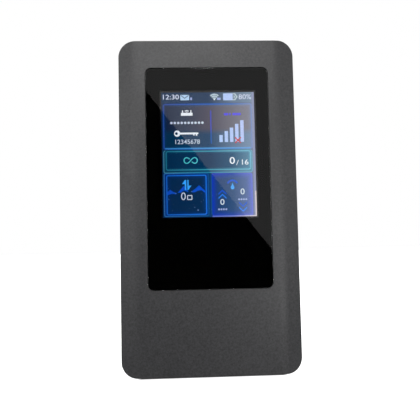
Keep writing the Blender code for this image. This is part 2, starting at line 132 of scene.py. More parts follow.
# The camera's turns in degrees and its focal length in millimetres
CAMERA_TURN = (93.911, 1.218, -2.516)
CAMERA_LENS = 47.143

ROOM_LIGHT = 0.01
FLOOR_LIGHT = 0.93
# The painted contact shadow on the floor fades out between these distances from the body's foot
PAINTED_SHADOW_FADE = (0.3 * MM, 2.4 * MM)
# How far short of the round corners the painted contact shadow ends
PAINTED_SHADOW_INSET = 2.0 * MM
# Each lamp's azimuth right of the front, height and width in degrees, and its strength. They
# stand clear of what the lens mirrors into the camera, which is the dark room and one card.
LAMPS = (
    ("lamp_top", 0, 32, 12, 1.03),
    ("lamp_upper_left", -18, 30, 15, 0.49),
    ("lamp_low_left", -28, 8, 15, 0.33),
    ("lamp_left", -70, 15, 60, 0.87),
    ("lamp_right", 70, 20, 60, 1.10),
    ("lamp_overhead", 0, 75, 60, 0.10),
    ("lamp_behind_right", 140, 12, 40, 0.80),
    ("lamp_behind", 180, 14, 40, 2.60),
    ("lamp_behind_left", -140, 12, 40, 0.60),
)
# Small softboxes low on the right: azimuth in degrees, distance, height, width and tallness in
# metres, and brightness
SOFTBOXES = (
    ("softbox_middle", 20, 0.35, 0.04, 0.05, 0.08, 5.1),
    ("softbox_low", 22, 0.25, 0.02, 0.05, 0.04, 6.0),
    ("softbox_tall", 24, 0.40, 0.10, 0.12, 0.20, 1.1),
)
# One square card behind the camera: how far behind, how wide, and how bright
CARD_AWAY = 1.2
CARD_SIZE = 1.0
CARD_LIGHT = 0.47
# Where the card's edge crosses the lens's left and right edges, as X and Z
CARD_EDGE = ((-24.0 * MM, 110.35 * MM), (24.0 * MM, 47.15 * MM))


# ---------------------------------------------------------------- material helpers

def new_material(name):
    """A new material, its node tree and its shader."""
    made = bpy.data.materials.new(name)
    made.use_nodes = True
    return made, made.node_tree, made.node_tree.nodes["Principled BSDF"]


def node(tree, kind, links=None, **values):
    """A node with its properties, its input values and its input links."""
    made = tree.nodes.new(kind)
    for key, value in values.items():
        if hasattr(made, key):
            setattr(made, key, value)
        else:
            made.inputs[key.replace("_", " ").title()].default_value = value
    for key, socket in (links or {}).items():
        tree.links.new(socket, made.inputs[key])
    return made


def object_place(tree, stretch=(1.0, 1.0, 1.0)):
    """Object coordinates, in metres, stretched along each axis."""
    coords = node(tree, "ShaderNodeTexCoord")
    mapping = node(tree, "ShaderNodeMapping", {"Vector": coords.outputs["Object"]}, scale=stretch)
    return mapping.outputs["Vector"]


def noise(tree, place, scale, detail=4.0, rough=0.55):
    """A smooth random pattern."""
    made = node(tree, "ShaderNodeTexNoise", {"Vector": place}, scale=scale, detail=detail, roughness=rough)
    return made.outputs["Fac"]


def spread(tree, value, low, high, from_low=0.3, from_high=0.7):
    """Turns a pattern's middle range into a range of values."""
    made = node(tree, "ShaderNodeMapRange", {"Value": value}, from_min=from_low, from_max=from_high,
                to_min=low, to_max=high)
    return made.outputs["Result"]


def ramp(tree, value, stops):
    """A value turned into colours between stops, each a place and a colour."""
    made = node(tree, "ShaderNodeValToRGB", {"Fac": value})
    elements = made.color_ramp.elements
    while len(elements) < len(stops):
        elements.new(0.5)
    while len(elements) > len(stops):
        elements.remove(elements[-1])
    for element, (place, colour) in zip(elements, stops):
        element.position = place
        element.color = (*colour, 1.0)
    return made.outputs["Color"]


def bump(tree, shader, height, strength, distance):
    """Gives a surface a pattern's relief, as deep as the distance in metres."""
    made = node(tree, "ShaderNodeBump", {"Height": height}, strength=strength, distance=distance)
    tree.links.new(made.outputs["Normal"], shader.inputs["Normal"])


def shade(colour, factor):
    """A colour made darker or lighter."""
    return tuple(channel * factor for channel in colour)


def coat(tree, shader, marks, tints, gloss, roughs, relief):
    """Tints a surface by a pattern, varies its gloss by another, and gives it the first one's relief."""
    tree.links.new(ramp(tree, marks, tints), shader.inputs["Base Color"])
    tree.links.new(spread(tree, gloss, *roughs), shader.inputs["Roughness"])
    bump(tree, shader, marks, *relief)


def plastic(name, colour, rough, grain=0.30 * MM):
    """Moulded plastic with a fine spark-eroded grain and faint cloudy gloss changes."""
    made, tree, shader = new_material(name)
    place = object_place(tree)
    fine = noise(tree, place, 1 / grain, 3.0, 0.6)
    mottle = noise(tree, place, 0.35 / grain, 2.0, 0.7)
    cloud = noise(tree, place, 90.0, 2.0)
    both = math_node(tree, "ADD", math_node(tree, "MULTIPLY", fine, 0.4),
                     math_node(tree, "MULTIPLY", mottle, 0.6))
    coat(tree, shader, both, [(0.35, shade(colour, 0.55)), (0.65, shade(colour, 1.45))],
         cloud, (rough - 0.03, rough + 0.03), (0.35, 0.012 * MM))
    return made


def metal(name, colour, rough, grain_stretch=(1.0, 1.0, 1.0)):
    """Plated or rolled metal, with its rolling marks along the least stretched axis."""
    made, tree, shader = new_material(name)
    shader.inputs["Metallic"].default_value = 1.0
    marks = noise(tree, object_place(tree, grain_stretch), 2500.0, 3.0)
    coat(tree, shader, marks, [(0.3, shade(colour, 0.88)), (0.7, colour)],
         marks, (rough * 0.75, rough * 1.25), (0.15, 0.004 * MM))
    return made


def smooth_part(name, colour, rough, scale=1500.0, vary=0.12, gloss=0.5):
    """A moulded or coated surface with slight changes of colour and gloss."""
    made, tree, shader = new_material(name)
    shader.inputs["Specular IOR Level"].default_value = gloss
    marks = noise(tree, object_place(tree), scale, 3.0)
    coat(tree, shader, marks, [(0.3, shade(colour, 1 - vary)), (0.7, shade(colour, 1 + vary))],
         marks, (rough * 0.85, rough * 1.15), (0.10, 0.003 * MM))
    return made


def lens_glass():
    """Clear cover glass, with the faintest unevenness in its polish."""
    made, tree, shader = new_material("clear_glass")
    shader.inputs["Base Color"].default_value = (1.0, 1.0, 1.0, 1.0)
    shader.inputs["Transmission Weight"].default_value = 1.0
    shader.inputs["IOR"].default_value = 1.5
    polish = noise(tree, object_place(tree), 60.0, 1.0)
    tree.links.new(spread(tree, polish, 0.008, 0.014), shader.inputs["Roughness"])
    return made


def blended(tree, factor, under, over):
    """One colour changing to another as the factor goes from 0 to 1."""
    made = node(tree, "ShaderNodeMix", {0: factor, 6: under, 7: over}, data_type="RGBA")
    return made.outputs[2]


def math_node(tree, operation, a, b):
    """A math node on two values, each a socket or a number."""
    made = node(tree, "ShaderNodeMath", operation=operation)
    for socket, value in zip(made.inputs, (a, b)):
        if hasattr(value, "is_linked"):
            tree.links.new(value, socket)
        else:
            socket.default_value = value
    return made.outputs[0]


def nearness(tree, x, z, box, reach):
    """Rises from 0 to 1 over a reach as a place comes up to the sides of a box in the layout."""
    (x0, z1), (x1, z0) = at(box[0], box[1]), at(box[2], box[3])
    across = math_node(tree, "ABSOLUTE", math_node(tree, "SUBTRACT", x, (x0 + x1) / 2), 0.0)
    up = math_node(tree, "ABSOLUTE", math_node(tree, "SUBTRACT", z, (z0 + z1) / 2), 0.0)
    out_x = math_node(tree, "SUBTRACT", across, (x1 - x0) / 2)
    out_z = math_node(tree, "SUBTRACT", up, (z1 - z0) / 2)
    out = math_node(tree, "MAXIMUM", out_x, out_z)
    return math_node(tree, "POWER", spread(tree, out, 0.0, 1.0, -reach * UNIT, 0.0), 2.0)


def lit_layer(name, colours, upper=(), glow=None):
    """Lit picture elements under a smooth polariser, with the pixel rows faintly visible.

    The colours run evenly from the left of the picture to its right. The upper set, if any, is a painted
    reflection that takes over above the first panel's lower part. A glow is a colour, a box and a reach.
    """
    made, tree, shader = new_material("lit_" + name)
    shader.inputs["Base Color"].default_value = (0.004, 0.004, 0.005, 1.0)
    shader.inputs["Roughness"].default_value = 0.05
    shader.inputs["IOR"].default_value = DISPLAY_IOR
    shader.inputs["Emission Strength"].default_value = 1.0
    coords = node(tree, "ShaderNodeTexCoord").outputs["Object"]
    place = node(tree, "ShaderNodeSeparateXYZ", {"Vector": coords})
    x, z = place.outputs["X"], place.outputs["Z"]
    across = spread(tree, x, 0.0, 1.0, LIT_LEFT, LIT_LEFT + LIT_SIZE[0])
    tint = ramp(tree, across, even_stops(colours))
    # Painted reflection: above the first panel's lower part the upper set takes over
    if upper:
        high = spread(tree, z, 0.0, 1.0, at(0, 108)[1], at(0, 94)[1])
        tint = blended(tree, high, tint, ramp(tree, across, even_stops(upper)))
    if glow:
        colour, box, reach = glow
        lamp = ramp(tree, across, even_stops(colour))
        tint = blended(tree, nearness(tree, x, z, box, reach), tint, lamp)
    rows = node(tree, "ShaderNodeTexWave", {"Vector": coords}, wave_type="BANDS", bands_direction="Z",
                scale=math.pi / (20 * UNIT))
    grain = noise(tree, coords, 2400.0, 2.0)
    flicker = math_node(tree, "MULTIPLY", spread(tree, rows.outputs["Fac"], 0.92, 1.08, 0.0, 1.0),
                        spread(tree, grain, 0.93, 1.07))
    lit = node(tree, "ShaderNodeVectorMath", {0: tint, "Scale": flicker}, operation="SCALE")
    tree.links.new(lit.outputs["Vector"], shader.inputs["Emission Color"])
    return made


def even_stops(colours):
    """Colours as ramp stops in even steps."""
    last = max(len(colours) - 1, 1)
    return [(i / last, colour) for i, colour in enumerate(colours)]


# ---------------------------------------------------------------- mesh helpers

def adopt(obj, body, look, slot, *replaced):
    """Gives a piece its look and its body, and hides the CAD nodes it stands for. The slot is not used."""
    obj.data.materials.clear()
    obj.data.materials.append(look)
    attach(obj, body)
    if replaced:
        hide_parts(*replaced)
    return obj


def link(name, data):
    """A new object in the scene."""
    obj = bpy.data.objects.new(name, data)
    bpy.context.scene.collection.objects.link(obj)
    return obj


def evaluated(obj):
    """An object as it stands with its modifiers."""
    bpy.context.view_layer.update()
    return obj.evaluated_get(bpy.context.evaluated_depsgraph_get())


def built(name, bm):
    """A new object from a mesh being built, which it ends."""
    mesh = bpy.data.meshes.new(name)
    bm.to_mesh(mesh)
    bm.free()
    return link(name, mesh)


def block(name, low, high, radius=0.0, along="Y", segments=8):
    """A box between two corners, with the edges along one axis rounded."""
    low, high = Vector(low), Vector(high)
    bm = bmesh.new()
    bmesh.ops.create_cube(bm, size=1.0)
    bmesh.ops.scale(bm, vec=high - low, verts=bm.verts)
    if radius:
        axis = "XYZ".index(along)
        edges = [e for e in bm.edges if (e.verts[0].co - e.verts[1].co)[axis]]
        bmesh.ops.bevel(bm, geom=edges, offset=radius, segments=segments, profile=0.5, affect="EDGES")
    bmesh.ops.translate(bm, vec=(low + high) / 2, verts=bm.verts)
    return built(name, bm)


def centred(name, size, y_low, y_high, z, x=0.0, radius=0.0, segments=8):
    """A block of a width and a height round a middle, between two depths."""
    low = (x - size[0] / 2, y_low, z - size[1] / 2)
    high = (x + size[0] / 2, y_high, z + size[1] / 2)
    return block(name, low, high, radius, "Y", segments)


def rod(name, radius, low, high):
    """A round bar between two points."""
    start = Vector(low)
    run = Vector(high) - start
    bm = bmesh.new()
    bmesh.ops.create_cone(bm, cap_ends=True, segments=32, radius1=radius, radius2=radius, depth=run.length)
    turn = run.to_track_quat("Z", "Y").to_matrix().to_4x4()
    bmesh.ops.transform(bm, matrix=Matrix.Translation(start + run / 2) @ turn, verts=bm.verts)
    return built(name, bm)


def round_edges(obj, width, segments, angle=40):
    """Rounds the edges sharper than an angle."""
    made = obj.modifiers.new("round", "BEVEL")
    made.width = width
    made.segments = segments
    made.limit_method = "ANGLE"
    made.angle_limit = math.radians(angle)
    return obj


def combine(target, operation, *others):
    """Cuts, adds or intersects other meshes, in order."""
    for other in others:
        made = target.modifiers.new(operation.lower(), "BOOLEAN")
        made.operation = operation
        made.solver = "EXACT"
        made.object = other
    return target


def settle(obj, *helpers):
    """Applies every modifier, drops the helpers and shades the round parts smooth."""
    mesh = bpy.data.meshes.new_from_object(evaluated(obj))
    mesh.name = obj.name
    obj.modifiers.clear()
    obj.data = mesh
    for helper in helpers:
        bpy.data.objects.remove(helper, do_unlink=True)
    mesh.shade_smooth()
    mesh.set_sharp_from_angle(angle=math.radians(32))
    weigh = obj.modifiers.new("weigh", "WEIGHTED_NORMAL")
    weigh.keep_sharp = True
    weigh.weight = 100
    return obj


def carve(target, *cutters):
    """Cuts the cutters out of the target and settles it."""
    combine(target, "DIFFERENCE", *cutters)
    return settle(target, *cutters)


def meshed(obj):
    """A curve or text as a welded mesh in the frame's own coordinates."""
    name = obj.name
    bm = bmesh.new()
    bm.from_mesh(bpy.data.meshes.new_from_object(evaluated(obj)))
    bmesh.ops.remove_doubles(bm, verts=bm.verts, dist=0.0005 * MM)
    bmesh.ops.recalc_face_normals(bm, faces=bm.faces)
    bmesh.ops.transform(bm, matrix=obj.matrix_world, verts=bm.verts)
    bpy.data.objects.remove(obj, do_unlink=True)
    return built(name, bm)


def flat_curve(name, outlines, thick):
    """A flat shape from one or more closed outlines in X and Y, as a filled curve."""
    curve = bpy.data.curves.new(name, "CURVE")
    curve.dimensions = "2D"
    curve.fill_mode = "BOTH"
    curve.extrude = thick / 2
    for outline in outlines:
        spline = curve.splines.new("POLY")
        spline.points.add(len(outline) - 1)
        for point, (x, y) in zip(spline.points, outline):
            point.co = (x, y, 0.0, 1.0)
        spline.use_cyclic_u = True
    return link(name, curve)


def rounded_outline(x0, y0, x1, y1, radius):
    """A rounded rectangle's points, anticlockwise."""
    steps = 6
    centres = (
        (x1 - radius, y1 - radius, 0), (x0 + radius, y1 - radius, 90),
        (x0 + radius, y0 + radius, 180), (x1 - radius, y0 + radius, 270),
    )
    points = []
    for cx, cy, start in centres:
        for i in range(steps + 1):
            turn = math.radians(start + 90 * i / steps)
            points.append((cx + radius * math.cos(turn), cy + radius * math.sin(turn)))
    return points


# ---------------------------------------------------------------- shells

def face_y(x):
    """Depth of the front face at a distance from the middle."""
    x = abs(x)
    if x <= FLAT_HALF:
        return FRONT_Y
    bend = (CREASE_HALF - FLAT_HALF) / math.sin(FLANK_ANGLE)
    if x <= CREASE_HALF:
        return FRONT_Y + bend - math.sqrt(bend**2 - (x - FLAT_HALF) ** 2)
    drop = bend * (1 - math.cos(FLANK_ANGLE))
    return FRONT_Y + drop + (x - CREASE_HALF) * math.tan(FLANK_ANGLE)


def face_guide():
    """Everything behind the crowned face, as a prism along Z."""
    steps = 12
    far = HALF_WIDTH + 5 * MM
    half = [far, CREASE_HALF]
    half += [CREASE_HALF + (FLAT_HALF - CREASE_HALF) * i / steps for i in range(1, steps + 1)]
    across = half + [-x for x in reversed(half)]
    outline = [(x, face_y(x)) for x in across] + [(-far, 10 * MM), (far, 10 * MM)]
    guide = flat_curve("face_guide", [outline], HEIGHT + 20 * MM)
    guide.location.z = MIDDLE_Z
    return meshed(guide)


def wall_slot(name, z, half_length, side):
    """A slot through a side wall round a key's or the card tray's face."""
    x0, x1 = sorted((side * (HALF_WIDTH + MM), side * (HALF_WIDTH - WALL - MM)))
    return block(name, (x0, ROW_Y - SLOT_HALF_DEPTH, z - half_length - SLOT_SPARE),
                 (x1, ROW_Y + SLOT_HALF_DEPTH, z + half_length + SLOT_SPARE), 0.6 * MM, "X", 5)


def lens_seat(name, grow, y_low, y_high, flare=0.0):
    """The lens's seat as a cutter, wider at its front edge by the flare."""
    size = (LENS_HIGH.x - LENS_LOW.x + grow, LENS_HIGH.z - LENS_LOW.z + grow)
    middle = (LENS_LOW.z + LENS_HIGH.z) / 2
    seat = centred(name, size, y_low, y_high, middle, radius=LENS_CORNER + grow / 2)
    for vertex in seat.data.vertices:
        if vertex.co.y < (y_low + y_high) / 2:
            vertex.co.x += math.copysign(flare, vertex.co.x)
            vertex.co.z += math.copysign(flare, vertex.co.z - middle)
    return seat


def middle_z(name):
    """The height of a CAD node's middle."""
    low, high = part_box(name)
    return (low.z + high.z) / 2


def front_shell(look):
    """The crowned front, hollow behind, with the lens's seat and every opening."""
    shell = centred("shell_front", (2 * HALF_WIDTH, HEIGHT), FRONT_Y - MM, 4 * MM, MIDDLE_Z,
                    radius=CORNER, segments=24)
    guide = face_guide()
    combine(shell, "INTERSECT", guide)
    round_edges(shell, RIM_ROUND, 5)
    inner = (2 * (HALF_WIDTH - WALL), HEIGHT - 2 * WALL)
    window = (LIT_SIZE[0] + WINDOW_SPARE[0], LIT_SIZE[1] + WINDOW_SPARE[1])
    over, under = HEIGHT + 2 * MM, HEIGHT - 3 * MM
    cutters = [
        centred("trim", TRIM_SIZE, SEAM_Y, 6 * MM, MIDDLE_Z),
        centred("hollow", inner, SKIN_Y, 5 * MM, MIDDLE_Z, radius=CORNER - WALL),
        lens_seat("seat", SEAT_SPARE, FRONT_Y - 2 * MM, SEAT_Y),
        lens_seat("seat_flare", SEAT_SPARE, FRONT_Y - SEAT_FLARE_DEPTH, FRONT_Y + SEAT_FLARE_DEPTH,
                  SEAT_FLARE),
        centred("window", window, FRONT_Y - MM, -6 * MM, LIT_MIDDLE[1], x=LIT_MIDDLE[0]),
        wall_slot("power_slot", middle_z("power_key"), KEY_HALF, -1),
        wall_slot("menu_slot", middle_z("menu_key"), KEY_HALF, -1),
        wall_slot("tray_slot", middle_z("sim_tray"), TRAY_HALF, 1),
        block("port_hole", (-PORT_HALF[0], PORT_Y - PORT_HALF[1], under),
              (PORT_HALF[0], PORT_Y + PORT_HALF[1], over), PORT_ROUND, "Z", 12),
        rod("reset_hole", RESET_RADIUS, (RESET_X, ROW_Y, under), (RESET_X, ROW_Y, over)),
    ]
    combine(shell, "DIFFERENCE", *cutters)
    settle(shell, guide, *cutters)
    return adopt(shell, BODY, look, "shell_plastic", "front_shell")


def rear_cover(look):
    """The rear cover, hollow in front, with its catch tabs and its notch."""
    rear_y = COVER_HIGH.y
    cover = centred("cover_rear", (2 * HALF_WIDTH, HEIGHT), -4 * MM, rear_y, MIDDLE_Z,
                    radius=CORNER, segments=24)
    round_edges(cover, REAR_ROUND, 10)
    hollow = centred("hollow", (2 * (HALF_WIDTH - COVER_WALL), HEIGHT - 2 * COVER_WALL), -7 * MM,
                     rear_y - COVER_WALL, MIDDLE_Z, radius=CORNER - COVER_WALL)
    round_edges(hollow, REAR_ROUND - COVER_WALL, 4)
    trim = centred("trim", TRIM_SIZE, -6 * MM, COVER_LOW.y, MIDDLE_Z)
    notch = block("notch", (HALF_WIDTH - NOTCH_DEPTH, SEAM_Y - MM, NOTCH_Z[0]),
                  (HALF_WIDTH + MM, COVER_LOW.y + NOTCH_DEPTH, NOTCH_Z[1]), 0.4 * MM, "Z", 4)
    combine(cover, "DIFFERENCE", trim, hollow)
    tabs = []
    for side in (-1, 1):
        for z in TAB_Z:
            x = side * TAB_X
            tabs.append(block("tab", (x - TAB_HALF[0], 4 * MM, z - TAB_HALF[1]),
                              (x + TAB_HALF[0], rear_y - COVER_WALL + 0.5 * MM, z + TAB_HALF[1]),
                              0.3 * MM, "Y", 3))
    combine(cover, "UNION", *tabs)
    combine(cover, "DIFFERENCE", notch)
    settle(cover, trim, hollow, notch, *tabs)
    return adopt(cover, "rear_cover", look, "cover_plastic", "rear_cover")


# ---------------------------------------------------------------- lens and display

def lens(glass, ink):
    """The cover glass, and the black border printed inside its rear face."""
    slab = lens_seat("lens_pane", 0.0, LENS_LOW.y, LENS_HIGH.y)
    round_edges(slab, 0.15 * MM, 3)
    settle(slab)
    adopt(slab, BODY, glass, "lens_glass", "display_lens")
    printed = lens_seat("lens_border", -0.35 * MM, LENS_HIGH.y - 0.10 * MM, LENS_HIGH.y - 0.04 * MM)
    window = (LIT_SIZE[0] + INK_SPARE, LIT_SIZE[1] + INK_SPARE)
    carve(printed, centred("border_window", window, -12 * MM, -5 * MM, LIT_MIDDLE[1], x=LIT_MIDDLE[0],
                           radius=0.4 * MM, segments=3))
    adopt(printed, BODY, ink, "lens_glass")


def at(u, v):
    """A place in the layout, as X and Z in the frame."""
    return (LIT_LEFT + u * LIT_SIZE[0] / 240, LIT_TOP - v * LIT_SIZE[1] / 320)


def stand_up(obj, layer):
    """Turns a flat shape to face -Y, at a layer's depth in front of the panel."""
    obj.rotation_euler.x = math.radians(90)
    obj.location.y = PANEL_FRONT - LAYER * (layer + 1)
    return meshed(obj)


def show(name, outlines, look, layer):
    """A lit shape from closed outlines given in layout units, in one of the lit looks."""
    placed = [[at(u, v) for u, v in outline] for outline in outlines]
    obj = stand_up(flat_curve(name, placed, LAYER * 0.6), layer)
    return adopt(obj, BODY, LIT[look], "display_panel")


def area(u0, v0, u1, v1, radius=0.01):
    """A box in the layout, sharp unless it has a radius."""
    return rounded_outline(u0, v0, u1, v1, radius)


def border(u0, v0, u1, v1, radius, line):
    """A rounded frame's outer and inner outlines."""
    inner = max(radius - line, 0.2)
    return [area(u0, v0, u1, v1, radius), area(u0 + line, v0 + line, u1 - line, v1 - line, inner)]


def sector(u, v, r0, r1, start, end):
    """A ring's sector, with its angles counted anticlockwise from the right."""
    steps = 10

    def arc(radius, turns):
        return [(u + radius * math.cos(t), v - radius * math.sin(t)) for t in turns]

    turns = [math.radians(start + (end - start) * i / steps) for i in range(steps + 1)]
    return arc(r1, turns) + arc(r0, reversed(turns))


def disc(u, v, radius, steps=16):
    """A round dot."""
    return [(u + radius * math.cos(math.tau * i / steps), v + radius * math.sin(math.tau * i / steps))
            for i in range(steps)]


def chevron(u, tip, half, drop, thick):
    """An arrowhead line: pointing up when the drop is positive, down when it is negative."""
    thick = math.copysign(thick, drop)
    return [(u, tip), (u + half, tip + drop), (u + half, tip + drop + thick), (u, tip + thick),
            (u - half, tip + drop + thick), (u - half, tip + drop)]


def bar_between(u0, v0, u1, v1, thick):
    """A straight stroke between two points."""
    length = math.hypot(u1 - u0, v1 - v0)
    du, dv = (v1 - v0) / length * thick / 2, (u0 - u1) / length * thick / 2
    return [(u0 + du, v0 + dv), (u1 + du, v1 + dv), (u1 - du, v1 - dv), (u0 - du, v0 - dv)]


def numeral(name, text, box, look, layer, bold=0.0):
    """Figures, stretched to fill a box in the layout."""
    curve = bpy.data.curves.new(name, "FONT")
    curve.body = text
    curve.size = 1.0
    curve.offset = bold
    curve.resolution_u = 4
    obj = link(name, curve)
    corners = [Vector(c) for c in evaluated(obj).bound_box]
    left, right = min(c.x for c in corners), max(c.x for c in corners)
    foot, top = min(c.y for c in corners), max(c.y for c in corners)
    u0, v0, u1, v1 = box
    wide, high = (u1 - u0) * UNIT / (right - left), (v1 - v0) * UNIT / (top - foot)
    curve.extrude = LAYER * 0.3
    x, z = at(u0, v1)
    obj.scale = (wide, high, 1.0)
    obj.location = (x - left * wide, 0.0, z - foot * high)
    return adopt(stand_up(obj, layer), BODY, LIT[look], "display_panel")


def status_bar():
    """Clock, mail, wireless, battery and charge along the top."""
    show("bar_fill", [area(0, 0, 240, 26.5)], "slate", 1)
    numeral("clock", "12:30", (4.5, 5, 45.5, 17.5), "clock", 2, 0.004)
    show("envelope", [area(49, 6, 72, 20, 1.5)], "ice", 2)
    fold = [(50, 8), (51.5, 7), (60.5, 14), (69.5, 7), (71, 8), (60.5, 16)]
    show("envelope_fold", [fold], "slate", 3)
    show("mail_count", [area(74.5, 13, 79.5, 19.5, 1.0)], "lilac", 2)
    fan = [sector(137.2, 20, near, near + 3.4, 46, 134) for near in (13.2, 8.4, 3.6)]
    show("wireless_fan", fan, "frost", 2)
    show("wireless_dot", [disc(137.2, 18.6, 1.8)], "white", 3)
    show("band_mark", [area(144, 14, 153.5, 20, 0.8)], "lilac", 2)
    show("battery_gauge", [area(160, 3, 185, 21, 2.0)], "ice", 2)
    shell = [(185, 3), (191, 3), (198, 12), (191, 21), (185, 21), (185, 18.6), (189, 18.6), (194.5, 12),
             (189, 5.4), (185, 5.4)]
    show("battery_tip", [shell], "frost", 2)
    show("battery_bolt", [[(187.5, 7.5), (191.5, 12), (187.5, 16.5)]], "frost", 3)
    numeral("charge_level", "80%", (200.5, 5.5, 233, 18.5), "clock", 2, 0.004)


def network_panel():
    """The first panel: network and key on the left, signal on the right."""
    show("network_fill", [area(*NETWORK_BOX, 5)], "network", 1)
    show("network_frame", border(3.5, 29, 234, 147.5, 6, 3.2), "blue", 2)
    show("network_foot", [area(8, 142.8, 228.5, 146.2, 1.2)], "foot_blue", 3)
    show("network_divider", [area(125.3, 47, 128.3, 133, 1.4)], "divider", 2)
    # A router sign and a key stand for the two headings, a masked row for the name under the first
    router = [(50, 52.5), (53, 52.5), (53, 46), (55.6, 46), (55.6, 52.5), (74.4, 52.5), (74.4, 46), (77, 46),
              (77, 52.5), (80, 52.5), (80, 60), (50, 60)]
    show("router_sign", [router, sector(65, 53, 1.6, 3.4, 40, 140), sector(65, 53, 5.2, 7.2, 40, 140)],
         "white", 2)
    dots = [disc(25 + 8.9 * i, 78.5, 3.3) for i in range(10)]
    show("masked_name", dots, "pearl", 2)
    shaft = [(47, 103.6), (92, 103.6), (95, 106.0), (92, 108.4), (91, 108.4), (91, 112.5), (87.5, 112.5),
             (87.5, 108.4), (84, 108.4), (84, 111.5), (80.5, 111.5), (80.5, 108.4), (47, 108.4)]
    show("key_sign", [disc(39.5, 106, 8.0, 22), disc(37.5, 106, 3.6, 16)], "white", 2)
    show("key_shaft", [shaft], "white", 3)
    numeral("code_row", "12345678", (34.5, 121.5, 97.5, 133), "pearl", 2, 0.008)
    strips = [area(left, 54, right, 60, 1.5) for left, right in ((161, 172.5), (174.5, 178.5), (183, 205))]
    show("card_sign", strips, "indigo", 2)
    for i, top in enumerate((110.9, 100.9, 91.9, 82.4, 73.2)):
        left = 148 + 13.7 * i
        show(f"signal_bar_{i + 1}", [area(left, top, left + 8.8, 129.2, 0.6)], "ice", 2)
    show("no_signal_rise", [bar_between(188.5, 132.0, 203.5, 117.5, 3.0)], "red", 3)
    show("no_signal_fall", [bar_between(188.5, 117.5, 203.5, 132.0, 3.0)], "red", 4)


def open_loops(u, v, half):
    """A lying eight that stays open at its upper left and lower right."""
    steps = 44
    points = []
    for i in range(steps + 1):
        turn = math.radians(-72 + 324 * i / steps)
        size = half / (1 + math.sin(turn) ** 2)
        points.append((u - size * math.cos(turn), v + 1.2 * size * math.sin(turn) * math.cos(turn)))
    return points


def stroke(name, points, width, look, layer):
    """A line of even width through points in the layout, flattened to a film."""
    curve = bpy.data.curves.new(name, "CURVE")
    curve.dimensions = "3D"
    curve.bevel_depth = width * UNIT / 2
    curve.bevel_resolution = 1
    curve.use_fill_caps = True
    spline = curve.splines.new("POLY")
    spline.points.add(len(points) - 1)
    for point, (u, v) in zip(spline.points, points):
        point.co = (*at(u, v), 0.0, 1.0)
    obj = link(name, curve)
    obj.scale.z = 0.08
    return adopt(stand_up(obj, layer), BODY, LIT[look], "display_panel")


def link_panel():
    """The second panel: a link sign and how many devices are linked."""
    show("link_gap", [area(3, 149, 232, 207.5, 5)], "gap", 1)
    show("link_edge", border(3, 149, 232.5, 207.8, 6, 2.2), "dim_teal", 2)
    show("link_gap_top", [area(8, 147.6, 227, 151.4)], "gap", 3)
    show("link_fill", [area(*LINK_BOX, 5)], "link", 3)
    show("link_frame", border(9.0, 151, 228.2, 200.6, 6, 2.3), "teal", 4)
    stroke("link_sign", open_loops(72.8, 175.4, 17.0), 2.7, "green", 4)
    numeral("linked_now", "0", (173.3, 168, 186.5, 185.5), "white", 4, 0.012)
    show("linked_slash", [bar_between(190.5, 189, 196, 176, 1.5)], "white", 4)
    numeral("linked_most", "16", (205, 174.5, 221.5, 188), "white", 4, 0.006)


def traffic_panel():
    """The lower left panel: traffic so far, before a row of hills."""
    show("traffic_fill", [area(4, 207.5, 118, 318, 4)], "traffic", 1)
    show("traffic_edge", border(3.0, 207, 118.3, 318, 5, 2.4), "dim_blue", 2)
    show("traffic_frame", border(9.4, 212.4, 112.6, 314, 5, 2.6), "sky_blue", 4)
    hills = {
        "hill_left": [(12, 255.5), (19, 249.5), (27, 255), (36, 258.5), (34, 261), (24, 259.5), (12, 263)],
        "hill_middle": [(38, 257), (47, 248), (53, 240), (60, 246), (66, 256), (54, 252), (46, 257)],
        "hill_right": [(72, 256), (84, 247), (93, 239), (109, 254), (109, 259), (100, 252), (92, 252),
                       (80, 257)],
    }
    for name, outline in hills.items():
        show(name, [outline], "hill", 2)
    up = [(57, 225), (60.5, 225), (60.5, 250.5), (56.5, 250.5), (56.5, 235.5), (49.5, 235.5)]
    down = [(63.2, 225), (66.4, 225), (66.4, 239.5), (73.5, 239.5), (66, 250.5), (63.2, 250.5)]
    show("traffic_arrows", [up, down], "cyan", 3)
    numeral("traffic_total", "0", (46.6, 256.5, 58.6, 276), "pearl", 3)
    show("traffic_unit", border(62, 263.5, 75.5, 276, 2.2, 2.3), "pearl", 3)
    specks = ((15.5, 273.5, 1.3), (89.5, 302.0, 2.0), (81, 295, 1.2), (33, 259, 1.2), (74, 254.5, 1.2),
              (24, 302, 0.9), (98, 281, 0.8))
    show("traffic_specks", [disc(*speck, steps=8) for speck in specks], "speck", 3)


def speed_panel():
    """The lower right panel: upload and download rates."""
    show("speed_fill", [area(*SPEED_BOX, 4)], "speed", 1)
    show("speed_edge", [area(123.6, 210, 125.2, 314, 0.6)], "dim_blue", 2)
    show("speed_gauge", [sector(179, 241.5, 11.5, 16.0, 26, 154)], "royal", 3)
    turns = [math.radians(turn) for turn in range(0, 181, 20)]
    belly = [(179 + 4.8 * math.cos(turn), 246 + 4.8 * math.sin(turn)) for turn in turns]
    drop = [(179, 233.5), (181.2, 240), (183.4, 244)] + belly + [(174.6, 244), (176.8, 240)]
    show("speed_drop", [drop], "cyan", 4)
    show("upload_mark", [chevron(152.5, 251, 10.2, 9.0, 4.4)], "royal", 3)
    show("upload_mark_near", [chevron(152.5, 261.5, 10.2, 9.5, 4.0)], "sky_blue", 3)
    numeral("upload_rate", "0", (146.8, 275, 157.2, 289.5), "pearl", 3, 0.01)
    numeral("download_rate", "0", (199.4, 249, 209.6, 264), "pearl", 3, 0.01)
    show("download_mark", [chevron(205, 296, 10.4, -9.5, 4.4)], "royal", 3)
    show("download_mark_near", [chevron(205, 308.5, 10.4, -9.5, 4.0)], "sky_blue", 3)
    show("upload_unit", [disc(143 + 6.2 * i, 301, 2.5) for i in range(4)], "lilac", 3)
    show("download_unit", [disc(195 + 6.2 * i, 276.5, 2.5) for i in range(4)], "lilac", 3)


